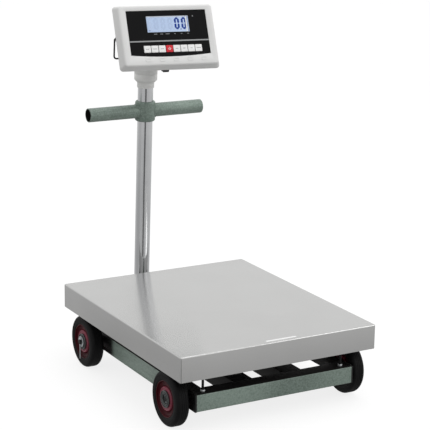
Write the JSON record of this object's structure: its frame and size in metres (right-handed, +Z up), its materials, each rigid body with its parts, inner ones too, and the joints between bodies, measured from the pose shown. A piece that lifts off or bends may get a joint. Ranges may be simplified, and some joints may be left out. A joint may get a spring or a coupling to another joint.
{
  "type": "platform shipping scale",
  "caption": "Wheeled platform scale with a stainless pan, a post with a cross handle and a tilting, swivelling weight indicator with press keys.",
  "frame": {"origin": "middle of the whole footprint, on the floor the wheels stand on", "axes": "+Z up, -Y is the front where the display faces, +X to the right seen from the front"},
  "size_m": [0.5, 0.7094, 0.8526],
  "materials": {
    "stainless": "brushed satin",
    "hammered_green": "hammered paint",
    "black_paint": "satin powder coat",
    "zinc": "zinc plated",
    "chrome": "polished",
    "aluminium": "satin",
    "tyre": "moulded",
    "rim_red": "gloss paint",
    "hub_steel": "satin",
    "housing_grey": "fine texture",
    "cap_grey": "fine texture",
    "panel_black": "satin film",
    "lcd": "backlit display",
    "window": "clear",
    "board": "solder mask",
    "battery_case": "moulded",
    "black_plastic": "moulded",
    "pad_rubber": "matte",
    "key_white": "satin",
    "key_red": "satin"
  },
  "bodies": {
    "base": {"front_rail": "hammered_green", "rear_rail": "hammered_green", "left_side_rail": "hammered_green", "right_side_rail": "hammered_green", "centre_beams": "black_paint", "axle_plates": "black_paint", "axles": "zinc", "axle_washers": "zinc", "split_pins": "zinc", "stop_screws": "zinc", "cell_base_plate": "black_paint", "fixed_spacer": "aluminium", "load_cell": "aluminium", "fixed_cell_bolts": "zinc", "post_bracket": "hammered_green", "bracket_bolts": "zinc", "post": "chrome", "handle_hub": "hammered_green", "handle_bar": "hammered_green", "post_cap": "cap_grey", "swivel_screw": "zinc"},
    "load_frame": {"load_frame": "black_paint", "free_spacer": "aluminium", "free_cell_bolts": "zinc", "pan_pads": "pad_rubber"},
    "pan": {"pan": "stainless"},
    "wheel_front_left": {"tyre_front_left": "tyre", "rim_front_left": "rim_red", "hub_front_left": "hub_steel"},
    "wheel_front_right": {"tyre_front_right": "tyre", "rim_front_right": "rim_red", "hub_front_right": "hub_steel"},
    "wheel_rear_left": {"tyre_rear_left": "tyre", "rim_rear_left": "rim_red", "hub_rear_left": "hub_steel"},
    "wheel_rear_right": {"tyre_rear_right": "tyre", "rim_rear_right": "rim_red", "hub_rear_right": "hub_steel"},
    "swivel": {"tilt_bracket": "black_paint"},
    "head": {"tilt_bolt": "zinc", "front_shell": "housing_grey", "rear_shell": "housing_grey", "panel_overlay": "panel_black", "lcd_module": "lcd", "lcd_window": "window", "main_board": "board", "battery": "battery_case", "battery_door": "housing_grey", "housing_screws": "zinc", "cable_glands": "black_plastic"},
    "tilt_knob": {"tilt_knob": "black_plastic"},
    "bail": {"stand_bail": "black_paint"},
    "key_1": {"key_1": "key_white"},
    "key_2": {"key_2": "key_white"},
    "key_3": {"key_3": "key_white"},
    "key_4": {"key_4": "key_red"},
    "key_5": {"key_5": "key_white"},
    "key_6": {"key_6": "key_white"},
    "key_7": {"key_7": "key_white"},
    "key_8": {"key_8": "key_white"}
  },
  "joints": [
    {"name": "load_cell_deflection", "type": "slide", "parent": "base", "child": "load_frame", "axis": [0, 0, 1], "range_m": [-0.0018, 0], "stiffness_N_per_m": 2000000, "deforming": ["load_cell"]},
    {"name": "pan_lift_off", "type": "slide", "parent": "load_frame", "child": "pan", "axis": [0, 0, 1], "range_m": [0, 0.12]},
    {"name": "front_left_wheel_spin", "type": "hinge", "parent": "base", "child": "wheel_front_left", "pos_m": [-0.2275, -0.2687, 0.0625], "axis": [1, 0, 0], "continuous": true},
    {"name": "front_right_wheel_spin", "type": "hinge", "parent": "base", "child": "wheel_front_right", "pos_m": [0.2275, -0.2687, 0.0625], "axis": [1, 0, 0], "continuous": true},
    {"name": "rear_left_wheel_spin", "type": "hinge", "parent": "base", "child": "wheel_rear_left", "pos_m": [-0.2275, 0.1593, 0.0625], "axis": [1, 0, 0], "continuous": true},
    {"name": "rear_right_wheel_spin", "type": "hinge", "parent": "base", "child": "wheel_rear_right", "pos_m": [0.2275, 0.1593, 0.0625], "axis": [1, 0, 0], "continuous": true},
    {"name": "indicator_swivel", "type": "hinge", "parent": "base", "child": "swivel", "pos_m": [0, 0.30315, 0.70468], "axis": [0, -0.0349, 0.9994], "range_deg": [-150, 150]},
    {"name": "indicator_tilt", "type": "hinge", "parent": "swivel", "child": "head", "pos_m": [-0.01077, 0.23194, 0.70379], "axis": [-0.9888, 0.1494, 0.0052], "range_deg": [-26, 34]},
    {"name": "clamp_knob_turn", "type": "hinge", "parent": "head", "child": "tilt_knob", "pos_m": [-0.01077, 0.23194, 0.70379], "axis": [0.9888, -0.1494, -0.0052], "range_deg": [-180, 180]},
    {"name": "stand_fold", "type": "hinge", "parent": "head", "child": "bail", "pos_m": [0.00419, 0.2281, 0.77346], "axis": [0.9888, -0.1494, -0.0052], "range_deg": [-14, 14]},
    {"name": "key_1_press", "type": "slide", "parent": "head", "child": "key_1", "axis": [0.132, 0.8889, -0.4387], "range_m": [0, 0.0008], "stiffness_N_per_m": 1500, "springref_m": -0.0004},
    {"name": "key_2_press", "type": "slide", "parent": "head", "child": "key_2", "axis": [0.132, 0.8889, -0.4387], "range_m": [0, 0.0008], "stiffness_N_per_m": 1500, "springref_m": -0.0004},
    {"name": "key_3_press", "type": "slide", "parent": "head", "child": "key_3", "axis": [0.132, 0.8889, -0.4387], "range_m": [0, 0.0008], "stiffness_N_per_m": 1500, "springref_m": -0.0004},
    {"name": "key_4_press", "type": "slide", "parent": "head", "child": "key_4", "axis": [0.132, 0.8889, -0.4387], "range_m": [0, 0.0008], "stiffness_N_per_m": 1500, "springref_m": -0.0004},
    {"name": "key_5_press", "type": "slide", "parent": "head", "child": "key_5", "axis": [0.132, 0.8889, -0.4387], "range_m": [0, 0.0008], "stiffness_N_per_m": 1500, "springref_m": -0.0004},
    {"name": "key_6_press", "type": "slide", "parent": "head", "child": "key_6", "axis": [0.132, 0.8889, -0.4387], "range_m": [0, 0.0008], "stiffness_N_per_m": 1500, "springref_m": -0.0004},
    {"name": "key_7_press", "type": "slide", "parent": "head", "child": "key_7", "axis": [0.132, 0.8889, -0.4387], "range_m": [0, 0.0008], "stiffness_N_per_m": 1500, "springref_m": -0.0004},
    {"name": "key_8_press", "type": "slide", "parent": "head", "child": "key_8", "axis": [0.132, 0.8889, -0.4387], "range_m": [0, 0.0008], "stiffness_N_per_m": 1500, "springref_m": -0.0004}
  ]
}
